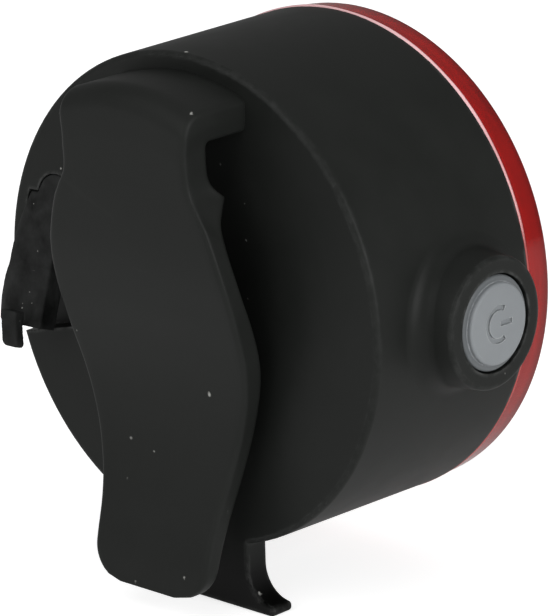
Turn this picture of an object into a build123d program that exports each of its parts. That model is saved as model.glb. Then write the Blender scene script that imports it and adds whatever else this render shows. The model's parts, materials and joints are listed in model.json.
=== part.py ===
from build123d import *
import os
from math import asin, cos, degrees, radians, sin, sqrt, tan

# The light's rear face lies on y = 0 and its axis runs along -Y to the lens.
# +Z runs up along the clip, the button is on the -X side and the charging port on the +X side.
# A depth is a distance from the rear face towards the lens.

# Housing, a cup with its rear wall
body_radius = 22.5
body_draft = 0.27
body_depth = 19.74
body_wall = 1.75
rear_wall = 1.8
rear_edge_round = 0.5

# Lens
lens_proud = 3.16
lens_inset = 0.18
lens_front = 2.0
lens_edge_round = 0.4
lens_skirt_gap = 0.15
lens_skirt_wall = 1.2
lens_skirt_depth = 3.3
lens_ridge_count = 9
lens_ridge_height = 0.5
seal_wire = 0.9
seal_groove_width = 1.2
seal_offset = 1.6

# Button and its collar
button_drop = 1.83
button_radius = 4.3
button_crown_radius = 3.7
button_crown_height = 0.5
button_rim_thickness = 1.0
button_sink = 0.1
button_travel = 0.5
button_side_gap = 0.15
button_under_gap = 0.1
button_edge_round = 0.25
stem_radius = 1.5
stem_clearance = 0.05
collar_height = 3.5
collar_top_radius = 5.95
collar_base_radius = 6.35
collar_top_round = 0.35
collar_flare_round = 1.8
gland_radius = 2.6
gland_depth = 1.1
button_seal_wire = 1.0
land_radius = 3.2
land_height = 0.35
clip_ring_radius = 2.3
clip_ring_thickness = 0.4
clip_ring_gap = 0.1
clip_ring_groove = 0.4
clip_ring_mouth = 1.8
stem_neck_radius = 1.1
mark_radius = 1.5
mark_stroke = 0.45
mark_depth = 0.2
mark_gap_half_angle = 60
mark_bar_start = 0.2
mark_bar_length = 1.55

# Strap hook under the housing
hook_thickness = 2.6
hook_reach = 5.4
hook_neck_half_width = 6.25
hook_flare_radius = 3.0
hook_tip_thickness = 0.9
hook_tip_round = 0.4
hook_edge_round = 0.3

# Clip: a root fixed to the rear face and an arm that springs away from it
clip_rim_inset = 1.57
clip_root_half_width = 7.7
clip_root_depth = 4.38
clip_reach = 7.65
clip_throat = 4.6
clip_crown_round = 2.2
clip_edge_round = 0.6
clip_flex_gap = 0.25
clip_tip_reach = 2.9
clip_half_width = 10.95
clip_tip_half_width = 7.0
clip_tip_round = 3.2
clip_screw_pitch = 7.7
clip_screw_rise = 1.7

# Shares of the arm's length from its top, and of its greatest half width
clip_width_shares = [
    (0.000, 0.685), (0.079, 0.705), (0.128, 0.785), (0.199, 0.888), (0.283, 0.970),
    (0.367, 1.000), (0.462, 0.986), (0.534, 0.936), (0.630, 0.840), (0.727, 0.740),
    (0.823, 0.665),
]
# Shares of the arm's length from its top, and of the clip's reach from the rear face
clip_outer_shares = [
    (0.000, 1.000), (0.079, 0.974), (0.175, 0.941), (0.271, 0.876), (0.367, 0.745),
    (0.462, 0.590), (0.559, 0.472), (0.655, 0.451), (0.751, 0.523), (0.846, 0.655),
    (0.930, 0.784), (1.000, 0.855),
]
clip_cavity_shares = [(0.000, 0.601), (0.044, 0.606), (0.077, 0.592), (0.098, 0.536), (0.118, 0.431)]
clip_inner_shares = [
    (0.118, 0.431), (0.142, 0.530), (0.166, 0.615), (0.194, 0.645), (0.247, 0.627),
    (0.319, 0.542), (0.391, 0.405), (0.462, 0.280), (0.534, 0.200), (0.630, 0.175),
    (0.727, 0.222), (0.823, 0.345), (0.907, 0.500), (1.000, 0.610),
]

# Charging port: a recess in the rear face and its silicone cover
port_recess_depth = 2.2
port_wall = 1.2
port_span = 7.9
port_head_inset = 1.6
port_head_z = 6.4
port_head_radius = 2.5
port_rim = 1.55
port_ear_rise = 0.55
port_low_angle = -17.8
port_foot_angle = 19.6
cover_gap = 0.3
cover_side_gap = 0.45
cover_thickness = 1.9
cover_low_z = 5.2
cover_hinge_z = 7.5
cover_hinge_gap = 0.3
cover_lift_angle = 18.5
cover_roll_inset = 3.6
cover_roll_radius = 4.1
cover_flank_drop = 3.9
cover_tongue_thickness = 1.2
cover_tongue_length = 5.4
cover_tongue_depth = 1.2
tab_inset = 3.0
tab_width = 1.75
tab_top_z = 4.2
tab_low_z = 7.25
tab_height = 1.2
tab_round = 0.4
anchor_tongue_width = 2.6
anchor_tongue_height = 0.8
anchor_tongue_depth = 4.9
anchor_barb_depth = 1.2
anchor_barb_spread = 0.5
anchor_slot_gap = 0.05

# Charging socket and the small board that carries it
usb_inset = 4.3
usb_z = 1.0
usb_length = 7.6
usb_width = 2.6
usb_wall = 0.3
usb_sink = 0.3
usb_depth = 5.0
usb_slot_gap = 0.1
usb_corner = 0.6
usb_tongue_thickness = 0.6
usb_tongue_length = 5.6
usb_tongue_setback = 1.5
usb_contact_count = 5
usb_contact_pitch = 0.65
usb_contact_width = 0.3
usb_contact_height = 0.12
charge_board_thickness = 1.0
charge_board_gap = 0.5
charge_board_clear = 0.4
charge_board_low = 6.0
charge_board_high = 7.0
charge_chip_length = 2.9
charge_chip_width = 1.6
charge_chip_height = 1.0
charge_chip_depth = 7.2
charge_chip_z = 2.0

# Main board, its fixings and what it carries
board_rim_gap = 0.6
main_board_thickness = 1.2
fixing_inset = 1.6
fixing_angles = [52, 128, 232, 308]
column_radius = 2.1
screw_radius = 1.0
screw_fit = 0.03
screw_pass_radius = 1.2
screw_head_radius = 1.9
screw_head_height = 1.1
screw_socket_radius = 0.8
screw_socket_depth = 0.6
screw_tip_gap = 1.8
led_ring_count = 6
led_ring_start = 30
led_size = 3.0
led_height = 0.7
led_dome_radius = 1.25
reflector_setback = 0.44
reflector_height = 4.9
cup_base_radius = 2.3
cup_mouth_radius = 4.3
reflector_gap = 0.2
cup_wall = 0.3
resistor_ring_radius = 6.3
resistor_length = 1.6
resistor_width = 0.8
resistor_height = 0.45
relief_gap = 0.25
chip_size = 4.0
chip_height = 0.9
chip_place = (-5.0, 4.0)
inductor_size = 4.2
inductor_height = 2.2
inductor_core_radius = 1.5
inductor_core_dip = 0.3
inductor_place = (5.5, -4.5)
capacitor_length = 2.0
capacitor_width = 1.25
capacitor_height = 1.2
capacitor_pitch = 2.2
capacitor_place = (2.0, 4.0)
capacitor_count = 4
switch_width = 6.0
switch_length = 3.2
switch_height = 3.4
plunger_radius = 0.8
plunger_gap = 0.08
plunger_reach = 1.1
plunger_tail = 0.9
plunger_room = 0.3
plunger_touch_gap = 0.1
header_width = 2.4
header_height = 2.1
header_low = -2.8
header_length = 7.6
header_pin_count = 4
header_pin_pitch = 1.9
header_pin_radius = 0.3
header_pin_fit = 0.03
header_pin_stick = 0.5

# Battery, its pad, tray and leads
battery_length = 26.0
battery_height = 20.0
battery_thickness = 5.4
battery_x = -1.0
battery_round = 1.2
pad_thickness = 1.0
pad_inset = 2.5
tray_gap = 0.2
tray_wall = 1.0
tray_plate = 1.0
tray_back_gap = 0.6
tray_lug_radius = 2.7
tray_lug_web = 2.0
tray_window_length = 14.0
tray_window_height = 9.0
lead_radius = 0.45
lead_bend = 1.6
lead_rise = 2.7
lead_pitch = 2.2
lead_x = -3.0
lead_depth = 5.5
lead_notch_side = 0.9

# One length by which every cutting shape runs past the face it opens
overrun = 1.0


def plan(depth):
    # Sketch plane square to the light's axis: its x is X, its y is Z, and it extrudes to the lens
    return Plane(origin=(0, -depth, 0), x_dir=(1, 0, 0), z_dir=(0, -1, 0))


def slab(outline, start, end):
    return extrude(plan(start) * outline, end - start)


def disc(radius, start, end, place=(0, 0)):
    return slab(Pos(*place) * Circle(radius), start, end)


def brick(x_low, x_high, start, end, z_low, z_high):
    outline = Pos((x_low + x_high) / 2, (z_low + z_high) / 2) * Rectangle(x_high - x_low, z_high - z_low)
    return slab(outline, start, end)


def turned(points):
    # A body of revolution about the light's axis, from (radius, depth) corners
    corners = [(radius, -depth) for radius, depth in points]
    return revolve(make_face(Polyline(*corners, close=True)), Axis.Y)


def turned_button(points):
    # A body of revolution about the button's axis, from (radius, reach from the light's axis) corners
    corners = [(-reach, radius - button_depth) for radius, reach in points]
    return revolve(make_face(Polyline(*corners, close=True)), Axis((0, -button_depth, 0), (1, 0, 0)))


def button_disc(radius, inner, outer):
    return turned_button([(0, inner), (radius, inner), (radius, outer), (0, outer)])


def polar(radius, angle):
    return (radius * cos(radians(angle)), radius * sin(radians(angle)))


def arc_middle(radius, high_z):
    # The middle of the arc about the light's axis from level high_z down to level zero
    return polar(radius, degrees(asin(high_z / radius)) / 2)


def fixing_places():
    return [polar(fixing_radius, angle) for angle in fixing_angles]


def led_places():
    step = 360 / led_ring_count
    ring = [polar(led_ring_radius, led_ring_start + step * i) for i in range(led_ring_count)]
    return [(0, 0)] + ring


def resistor_angles():
    return [led_ring_start + 360 / led_ring_count * (i + 0.5) for i in range(led_ring_count)]


def edges_on(solid, axis, value):
    # Edges whose centre lies at a value along an axis
    pick = {Axis.X: lambda p: p.X, Axis.Y: lambda p: p.Y, Axis.Z: lambda p: p.Z}[axis]
    near = button_side_gap / 100
    return solid.edges().filter_by(lambda e: abs(pick(e.center(CenterOf.BOUNDING_BOX)) - value) < near)


# Derived places shared by several pieces
inner_radius = body_radius - body_wall
front_radius = body_radius + body_draft
light_depth = body_depth + lens_proud
skirt_outer = inner_radius - lens_skirt_gap
skirt_inner = skirt_outer - lens_skirt_wall
reflector_front = body_depth - reflector_setback
main_board_front = reflector_front - reflector_height
main_board_rear = main_board_front - main_board_thickness
main_board_radius = skirt_inner - board_rim_gap
fixing_radius = main_board_radius - fixing_inset
led_ring_radius = fixing_radius - screw_head_radius - reflector_gap - cup_wall - cup_mouth_radius
button_depth = main_board_rear - button_drop
collar_reach = body_radius + collar_height
battery_rear = rear_wall + pad_thickness
tray_rear = battery_rear + battery_thickness
tray_front = tray_rear + tray_plate
port_floor_inner = port_recess_depth + port_wall
button_face = collar_reach - button_sink
button_under = button_face - button_rim_thickness
button_floor = button_under - button_travel - button_under_gap
gland_floor = button_floor - gland_depth
land_face = inner_radius - land_height
ring_outer = land_face - clip_ring_gap
ring_inner = ring_outer - clip_ring_thickness
stem_end = ring_inner - clip_ring_groove
plunger_tip = stem_end - plunger_touch_gap
switch_front_x = plunger_tip - plunger_reach
port_inner_x = body_radius - port_span
port_head_x = port_inner_x + port_head_inset
port_ear_radius = body_radius - port_rim
port_ear_z = port_head_z + port_ear_rise
cover_inner_x = port_inner_x + cover_side_gap
cover_roll_start = body_radius - cover_roll_inset
cover_ear_radius = port_ear_radius - cover_gap
tab_outer_radius = body_radius - tab_inset
tab_inner_radius = tab_outer_radius - tab_width
usb_x = body_radius - usb_inset
charge_board_side = usb_x - usb_width / 2
charge_board_front = main_board_rear - charge_board_clear
usb_mouth = port_recess_depth + usb_sink
clip_top_radius = body_radius - clip_rim_inset
clip_root_height = clip_top_radius - clip_root_depth
clip_tip_drop = body_radius + clip_tip_reach
arm_top = clip_root_height - clip_flex_gap
arm_length = arm_top + clip_tip_drop
hook_drop = body_radius + hook_reach


def port_outline(grow=0.0):
    # The recess seen from behind: a round head over a wide foot that opens through the rim
    reach = body_radius + body_draft + overrun
    head_top = port_head_z + sqrt(port_head_radius ** 2 - (port_head_x - port_inner_x) ** 2)
    low_x, low_z = polar(reach, port_low_angle)
    low_inner = -port_inner_x * tan(radians(port_foot_angle))
    ear_x = sqrt(port_ear_radius ** 2 - port_ear_z ** 2)
    neck_x = port_head_x + sqrt(port_head_radius ** 2 - port_ear_rise ** 2)
    edges = [
        Line((port_inner_x, low_inner), (port_inner_x, head_top)),
        ThreePointArc((port_inner_x, head_top), (port_head_x, port_head_z + port_head_radius),
                      (neck_x, port_ear_z)),
        Line((neck_x, port_ear_z), (ear_x, port_ear_z)),
        ThreePointArc((ear_x, port_ear_z), arc_middle(port_ear_radius, port_ear_z), (port_ear_radius, 0)),
        Line((port_ear_radius, 0), (reach, 0)),
        Line((reach, 0), (reach, low_z)),
        Line((reach, low_z), (low_x, low_z)),
        Line((low_x, low_z), (port_inner_x, low_inner)),
    ]
    face = make_face(edges)
    return offset(face, amount=grow) if grow else face


def housing_outside():
    shell = turned([(0, 0), (body_radius, 0), (front_radius, body_depth), (0, body_depth)])
    rim = shell.edges().filter_by(GeomType.CIRCLE).sort_by(Axis.Y)[-1]
    shell = fillet(rim, rear_edge_round)
    straight_end = body_radius - body_wall / 2
    collar = turned_button([
        (0, inner_radius), (collar_base_radius, inner_radius), (collar_base_radius, straight_end),
        (collar_top_radius, collar_reach), (0, collar_reach),
    ])
    collar = fillet(edges_on(collar, Axis.X, -collar_reach), collar_top_round)
    solid = shell + collar
    seam = solid.edges().filter_by(lambda e: e.geom_type not in (GeomType.CIRCLE, GeomType.LINE))
    flare_room = min(button_depth - rear_edge_round, body_depth - button_depth) - collar_base_radius
    return fillet(seam, min(collar_flare_round, flare_room))


def hook():
    flare_z = -(hook_drop - hook_tip_thickness - hook_flare_radius)
    flare_x = hook_neck_half_width + hook_flare_radius
    tip_top = flare_z - hook_flare_radius
    half = hook_flare_radius * sin(radians(45))
    root_z = -(inner_radius - body_wall)
    right = [
        Line((hook_neck_half_width, root_z), (hook_neck_half_width, flare_z)),
        ThreePointArc((hook_neck_half_width, flare_z), (flare_x - half, flare_z - half), (flare_x, tip_top)),
        Line((flare_x, tip_top), (flare_x, -hook_drop)),
    ]
    left = [mirror(edge, Plane.YZ) for edge in right]
    top = Line((-hook_neck_half_width, root_z), (hook_neck_half_width, root_z))
    bottom = Line((-flare_x, -hook_drop), (flare_x, -hook_drop))
    solid = slab(make_face(right + left + [top, bottom]), 0, hook_thickness)
    tips = solid.edges().filter_by(Axis.Y).filter_by(lambda e: e.center().Z < tip_top + hook_tip_round / 2)
    solid = fillet(tips, hook_tip_round)
    broad = [edge for value in (0, -hook_thickness) for edge in edges_on(solid, Axis.Y, value)]
    return fillet([edge for edge in broad if edge.center().Z < -inner_radius], hook_edge_round)


def port_well():
    block = slab(port_outline(port_wall), 0, port_floor_inner)
    return block & disc(body_radius - rear_edge_round, 0, body_depth)


def anchor_slot(gap):
    half = anchor_tongue_width / 2 + gap
    mid_z = (cover_hinge_z + cover_hinge_gap / 2 + port_head_z + port_head_radius - cover_gap) / 2
    return brick(port_head_x - half, port_head_x + half, 0, port_floor_inner + overrun,
                 mid_z - anchor_tongue_height / 2 - gap, mid_z + anchor_tongue_height / 2 + gap)


def usb_outline(shrink):
    outline = Rectangle(usb_width - 2 * shrink, usb_length - 2 * shrink)
    return Pos(usb_x, usb_z) * fillet(outline.vertices(), usb_corner - min(shrink, usb_wall))


def housing():
    inside = disc(inner_radius, rear_wall, body_depth + overrun) - port_well()
    for place in fixing_places():
        inside -= disc(column_radius, rear_wall, tray_rear, place)
    inside -= button_disc(land_radius, land_face, front_radius)
    solid = housing_outside() + hook() - inside
    for place in fixing_places():
        solid -= disc(screw_radius + screw_fit, rear_wall, tray_rear + overrun, place)
    for place in clip_screw_places():
        solid -= disc(screw_pass_radius, -overrun, rear_wall + overrun, place)
    solid -= button_disc(button_radius + button_side_gap, button_floor, collar_reach + overrun)
    solid -= button_disc(gland_radius, gland_floor, button_floor + overrun)
    solid -= button_disc(stem_radius + stem_clearance, land_face - overrun, gland_floor + overrun)
    solid -= slab(port_outline(), -overrun, port_recess_depth)
    solid -= slab(usb_outline(-usb_slot_gap), 0, port_floor_inner + overrun)
    solid -= anchor_slot(anchor_slot_gap)
    return solid


def lens():
    radius = front_radius - lens_inset
    inner_face = light_depth - lens_front
    skirt_rear = body_depth - lens_skirt_depth
    pitch = skirt_inner / lens_ridge_count
    ridges = []
    for i in range(lens_ridge_count):
        outer = skirt_inner - pitch * i
        ridges += [(outer, inner_face), (outer - pitch, inner_face - lens_ridge_height)]
    profile = [
        (0, light_depth), (radius, light_depth), (radius, body_depth), (skirt_outer, body_depth),
        (skirt_outer, skirt_rear), (skirt_inner, skirt_rear),
    ] + ridges
    solid = turned(profile)
    solid = fillet(edges_on(solid, Axis.Y, -light_depth), lens_edge_round)
    groove_front = body_depth - seal_offset + seal_groove_width / 2
    groove_rear = groove_front - seal_groove_width
    groove = disc(inner_radius, groove_rear, groove_front)
    groove -= disc(inner_radius - seal_wire, groove_rear, groove_front)
    return solid - groove


def lens_seal():
    ring_radius = inner_radius - seal_wire / 2
    centre = Plane(origin=(ring_radius, -(body_depth - seal_offset), 0))
    return revolve(centre * Circle(seal_wire / 2), Axis.Y)


def screw(head_start, tip, place, outward=1):
    # A pan-head screw along the light's axis: outward is 1 when the head is towards the lens
    shank = disc(screw_radius, min(head_start, tip), max(head_start, tip), place)
    head_end = head_start + outward * screw_head_height
    head = disc(screw_head_radius, min(head_start, head_end), max(head_start, head_end), place)
    head = fillet(edges_on(head, Axis.Y, -head_end), screw_head_height / 3)
    socket_ends = sorted([head_end - outward * screw_socket_depth, head_end + outward * overrun])
    socket = slab(Pos(*place) * RegularPolygon(screw_socket_radius, 6), *socket_ends)
    return shank + head - socket


def clip_screw_places():
    height = clip_root_height + clip_screw_rise
    return [(-clip_screw_pitch / 2, height), (clip_screw_pitch / 2, height)]


def clip_screw_tip():
    return -(clip_throat - clip_edge_round)


def main_board():
    solid = disc(main_board_radius, main_board_rear, main_board_front)
    drilled = [(place, screw_pass_radius) for place in fixing_places()]
    drilled += [(place, header_pin_radius + header_pin_fit) for place in header_pin_places()]
    for place, radius in drilled:
        solid -= disc(radius, main_board_rear - overrun, main_board_front + overrun, place)
    return solid


def header_pin_places():
    x = charge_board_side - charge_board_thickness - header_width / 2
    middle = header_low + header_length / 2
    first = middle - header_pin_pitch * (header_pin_count - 1) / 2
    return [(x, first + header_pin_pitch * i) for i in range(header_pin_count)]


def board_header():
    x_high = charge_board_side - charge_board_thickness
    low = main_board_rear - header_height
    solid = brick(x_high - header_width, x_high, low, main_board_rear,
                  header_low, header_low + header_length)
    for place in header_pin_places():
        solid -= disc(header_pin_radius + header_pin_fit, low - overrun, main_board_rear + overrun, place)
    return solid


def header_pins():
    start = main_board_rear - header_height
    return [disc(header_pin_radius, start, main_board_front + header_pin_stick, place)
            for place in header_pin_places()]


def led(place):
    base = slab(Pos(*place) * Rectangle(led_size, led_size), main_board_front, main_board_front + led_height)
    dome_base = Pos(place[0], -(main_board_front + led_height), place[1])
    dome = dome_base * Sphere(led_dome_radius)
    dome &= disc(led_size, main_board_front + led_height, main_board_front + led_size, place)
    return base + dome


def reflector():
    solid = disc(main_board_radius, main_board_front, reflector_front)
    low, high = main_board_front - overrun, reflector_front + overrun
    for x, z in led_places():
        cup = Pos(x, 0, z) * turned([
            (0, low), (cup_base_radius, low), (cup_base_radius, main_board_front + led_height),
            (cup_mouth_radius, reflector_front), (cup_mouth_radius, high), (0, high),
        ])
        solid -= cup
    for place in fixing_places():
        solid -= disc(screw_head_radius + reflector_gap, low, high, place)
    for angle in resistor_angles():
        half = resistor_length / 2 + relief_gap
        relief_top = main_board_front + resistor_height + relief_gap
        solid -= disc(half, low, relief_top, polar(resistor_ring_radius, angle))
    pins = header_pin_places()
    side = header_pin_radius + relief_gap
    pin_room = main_board_front + header_pin_stick + relief_gap
    first, last = pins[0], pins[-1]
    return solid - brick(first[0] - side, last[0] + side, low, pin_room, first[1] - side, last[1] + side)


def resistor(angle):
    x, z = polar(resistor_ring_radius, angle)
    outline = Pos(x, z) * Rot(0, 0, angle) * Rectangle(resistor_width, resistor_length)
    return slab(outline, main_board_front, main_board_front + resistor_height)


def rear_component(place, length, width, height):
    x, z = place
    return brick(x - length / 2, x + length / 2, main_board_rear - height, main_board_rear,
                 z - width / 2, z + width / 2)


def controller_chip():
    solid = rear_component(chip_place, chip_size, chip_size, chip_height)
    top = edges_on(solid, Axis.Y, -(main_board_rear - chip_height))
    return chamfer(top, chip_height / 6)


def drive_inductor():
    solid = rear_component(inductor_place, inductor_size, inductor_size, inductor_height)
    solid = chamfer(solid.edges().filter_by(Axis.Y), inductor_size / 8)
    top = main_board_rear - inductor_height
    return solid - disc(inductor_core_radius, top - overrun, top + inductor_core_dip, inductor_place)


def capacitors():
    x, z = capacitor_place
    return [rear_component((x + capacitor_pitch * i, z), capacitor_width, capacitor_length, capacitor_height)
            for i in range(capacitor_count)]


def tact_switch():
    solid = brick(-switch_front_x, -switch_front_x + switch_length, main_board_rear - switch_height,
                  main_board_rear, -switch_width / 2, switch_width / 2)
    room = plunger_tail + button_travel + plunger_room
    bore = button_disc(plunger_radius + plunger_gap, switch_front_x - room, switch_front_x + overrun)
    front_edges = edges_on(solid, Axis.X, -switch_front_x)
    return chamfer(front_edges, plunger_gap * 2) - bore


def switch_plunger():
    solid = button_disc(plunger_radius, switch_front_x - plunger_tail, plunger_tip)
    return chamfer(edges_on(solid, Axis.X, -plunger_tip), plunger_gap * 2)


def power_mark(base):
    # A ring with a gap towards the lens and a bar in the gap, cut into the crown
    plane = Plane(origin=(-base + mark_depth, -button_depth, 0), x_dir=(0, 0, -1), z_dir=(-1, 0, 0))
    ring = Circle(mark_radius + mark_stroke / 2) - Circle(mark_radius - mark_stroke / 2)
    top = mark_radius + mark_stroke
    side = top * tan(radians(mark_gap_half_angle))
    wedge = make_face(Polyline((0, 0), (side, top), (-side, top), close=True))
    bar = Pos(0, mark_bar_start + mark_bar_length / 2) * Rectangle(mark_stroke, mark_bar_length)
    return extrude(plane * (ring - wedge + bar), mark_depth + overrun)


def button():
    solid = turned_button([
        (0, stem_end), (stem_radius, stem_end), (stem_radius, button_under), (button_radius, button_under),
        (button_radius, button_face), (button_crown_radius, button_face),
        (button_crown_radius, button_face + button_crown_height), (0, button_face + button_crown_height),
    ])
    solid = fillet(edges_on(solid, Axis.X, -(button_face + button_crown_height)), button_edge_round)
    solid = fillet(edges_on(solid, Axis.X, -button_face).sort_by(SortBy.LENGTH)[-1:], button_edge_round)
    groove = button_disc(stem_radius + overrun, ring_inner, ring_outer)
    groove -= button_disc(stem_neck_radius, ring_inner, ring_outer)
    return solid - groove - power_mark(button_face + button_crown_height)


def button_clip():
    ring = button_disc(clip_ring_radius, ring_inner, ring_outer)
    ring -= button_disc(stem_neck_radius, ring_inner, ring_outer)
    half = clip_ring_mouth / 2
    mouth = brick(-ring_outer, -ring_inner, button_depth - half, button_depth + half, 0, clip_ring_radius)
    return ring - mouth


def button_seal():
    ring_radius = stem_radius + stem_clearance + button_seal_wire / 2
    mid = gland_floor + gland_depth / 2
    centre = Plane(origin=(-mid, ring_radius - button_depth, 0))
    return revolve(centre * Circle(button_seal_wire / 2), Axis((0, -button_depth, 0), (1, 0, 0)))


def clip_point(shares, across):
    drop, share = shares
    return (across * share, arm_top - arm_length * drop)


def clip_root():
    side_top = sqrt(clip_top_radius ** 2 - clip_root_half_width ** 2)
    low_half = clip_half_width * clip_width_shares[0][1]
    outline = make_face([
        Line((-low_half, clip_root_height), (low_half, clip_root_height)),
        Line((low_half, clip_root_height), (clip_root_half_width, side_top)),
        ThreePointArc((clip_root_half_width, side_top), (0, clip_top_radius),
                      (-clip_root_half_width, side_top)),
        Line((-clip_root_half_width, side_top), (-low_half, clip_root_height)),
    ])
    solid = slab(outline, -clip_reach, 0)
    crown = edges_on(solid, Axis.Y, clip_reach).sort_by(Axis.Z)[-1]
    solid = fillet(crown, clip_crown_round)
    for place in clip_screw_places():
        solid -= disc(screw_radius + screw_fit, clip_screw_tip() - screw_fit, overrun, place)
    return solid


def clip_arm():
    right = [clip_point(pair, clip_half_width) for pair in clip_width_shares]
    corner_z = clip_tip_round - clip_tip_drop
    right += [(clip_tip_half_width, corner_z)]
    left = [(-x, z) for x, z in right]
    flat = clip_tip_half_width - clip_tip_round
    turn_x, turn_z = polar(clip_tip_round, -45)
    outline = make_face([
        Spline(*right),
        ThreePointArc(right[-1], (flat + turn_x, corner_z + turn_z), (flat, -clip_tip_drop)),
        Line((flat, -clip_tip_drop), (-flat, -clip_tip_drop)),
        ThreePointArc((-flat, -clip_tip_drop), (-flat - turn_x, corner_z + turn_z), left[-1]),
        Spline(*left),
        Line(left[0], right[0]),
    ])
    front = slab(outline, -clip_reach - overrun, overrun)
    outer = [clip_point(pair, clip_reach) for pair in clip_outer_shares]
    cavity = [clip_point(pair, clip_reach) for pair in clip_cavity_shares]
    inner = [clip_point(pair, clip_reach) for pair in clip_inner_shares]
    profile = make_face([
        Spline(*outer), Line(outer[-1], inner[-1]), Spline(*inner), Spline(*cavity),
        Line(cavity[0], outer[0]),
    ])
    side = Plane(origin=(-clip_half_width - overrun, 0, 0), x_dir=(0, 1, 0), z_dir=(1, 0, 0))
    solid = front & extrude(side * profile, 2 * (clip_half_width + overrun))
    edges = solid.edges().filter_by(lambda e: e.center().Z < arm_top - clip_edge_round)
    flanks = [e for e in edges if abs(e.center().X) > clip_edge_round]
    tip = [e for e in edges if abs(e.center().X) <= clip_edge_round and e.center().Z < -clip_tip_drop / 2]
    return fillet(flanks + tip, clip_edge_round)


def cover_outline():
    # The closed cover seen from behind, inside the recess by the cover's gap
    head_radius = port_head_radius - cover_gap
    low = -cover_low_z
    ear_z = port_ear_z - cover_gap
    rim_x = cover_roll_start + cover_roll_radius
    flank_z = -cover_gap - cover_flank_drop
    head_z = port_head_z + sqrt(head_radius ** 2 - (port_head_x - cover_inner_x) ** 2)
    neck_x = port_head_x + sqrt(head_radius ** 2 - (ear_z - port_head_z) ** 2)
    ear_x = sqrt(cover_ear_radius ** 2 - ear_z ** 2)
    return make_face([
        Line((cover_inner_x, low), (cover_inner_x, head_z)),
        ThreePointArc((cover_inner_x, head_z), (port_head_x, port_head_z + head_radius), (neck_x, ear_z)),
        Line((neck_x, ear_z), (ear_x, ear_z)),
        ThreePointArc((ear_x, ear_z), arc_middle(cover_ear_radius, ear_z), (cover_ear_radius, -cover_gap)),
        Line((cover_ear_radius, -cover_gap), (rim_x, flank_z)),
        Line((rim_x, flank_z), (rim_x, low)),
        Line((rim_x, low), (cover_inner_x, low)),
    ])


def cover_plate():
    # The cover's plate closed flush with the rear face, its outer side rolled over towards the rim
    end_radius = cover_roll_start + sqrt(cover_roll_radius ** 2 - (cover_roll_radius - cover_thickness) ** 2)
    mid_depth = cover_thickness / 4
    mid_radius = cover_roll_start + sqrt(cover_roll_radius ** 2 - (cover_roll_radius - mid_depth) ** 2)
    profile = make_face([
        Line((0, 0), (cover_roll_start, 0)),
        ThreePointArc((cover_roll_start, 0), (mid_radius, -mid_depth), (end_radius, -cover_thickness)),
        Line((end_radius, -cover_thickness), (0, -cover_thickness)),
        Line((0, -cover_thickness), (0, 0)),
    ])
    return slab(cover_outline(), -overrun, cover_thickness + overrun) & revolve(profile, Axis.Y)


def cover_tab():
    # The pull tab: a raised bar beside the rim that reaches past the plate's end
    outer = brick(0, body_radius, -tab_height, 0, -tab_low_z, -tab_top_z)
    bar = outer & (disc(tab_outer_radius, -tab_height, 0) - disc(tab_inner_radius, -tab_height, 0))
    low_edges = bar.edges().filter_by(Axis.Y)
    bar = fillet(low_edges, tab_round)
    return bar - brick(0, body_radius, -cover_gap, 0, -tab_low_z - overrun, -cover_low_z)


def port_cover():
    split = cover_hinge_z - cover_hinge_gap / 2
    beyond = brick(0, body_radius + overrun, -overrun, cover_thickness + overrun, split, body_radius)
    tongue = brick(usb_x - cover_tongue_thickness / 2, usb_x + cover_tongue_thickness / 2,
                   cover_thickness, cover_thickness + cover_tongue_depth,
                   usb_z - cover_tongue_length / 2, usb_z + cover_tongue_length / 2)
    closed = cover_plate() - beyond + cover_tab() + tongue
    hinge = Axis((0, 0, cover_hinge_z), (1, 0, 0))
    return closed.rotate(hinge, cover_lift_angle)


def port_cover_anchor():
    split = cover_hinge_z + cover_hinge_gap / 2
    beyond = brick(0, body_radius + overrun, -overrun, cover_thickness + overrun, -body_radius, split)
    top = port_head_z + port_head_radius - cover_gap
    mid_z = (split + top) / 2
    half = anchor_tongue_width / 2
    tongue = brick(port_head_x - half, port_head_x + half, 0, anchor_tongue_depth,
                   mid_z - anchor_tongue_height / 2, mid_z + anchor_tongue_height / 2)
    barb_low = half + anchor_barb_spread
    barb = brick(port_head_x - barb_low, port_head_x + barb_low, anchor_tongue_depth - anchor_barb_depth,
                 anchor_tongue_depth, mid_z - anchor_tongue_height / 2, mid_z + anchor_tongue_height / 2)
    return cover_plate() - beyond + tongue + barb


def usb_shell():
    outside = slab(usb_outline(0), usb_mouth, usb_mouth + usb_depth)
    inside = slab(usb_outline(usb_wall), usb_mouth - overrun, usb_mouth + usb_depth - usb_wall)
    return outside - inside


def usb_tongue():
    back = usb_mouth + usb_depth - usb_wall
    block = slab(usb_outline(usb_wall), back - usb_wall * 3, back)
    side = usb_x - usb_width / 2 + usb_wall + usb_contact_height * 3
    blade = brick(side, side + usb_tongue_thickness, usb_mouth + usb_tongue_setback, back,
                  usb_z - usb_tongue_length / 2, usb_z + usb_tongue_length / 2)
    return block + blade


def usb_contacts():
    side = usb_x - usb_width / 2 + usb_wall + usb_contact_height * 3 + usb_tongue_thickness
    back = usb_mouth + usb_depth - usb_wall * 4
    first = usb_z - usb_contact_pitch * (usb_contact_count - 1) / 2
    front = usb_mouth + usb_tongue_setback + usb_contact_width
    half = usb_contact_width / 2
    contacts = []
    for i in range(usb_contact_count):
        z = first + usb_contact_pitch * i
        contacts.append(brick(side, side + usb_contact_height, front, back, z - half, z + half))
    return contacts


def charge_board():
    rear = port_floor_inner + charge_board_gap
    return brick(charge_board_side - charge_board_thickness, charge_board_side, rear, charge_board_front,
                 -charge_board_low, charge_board_high)


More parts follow.
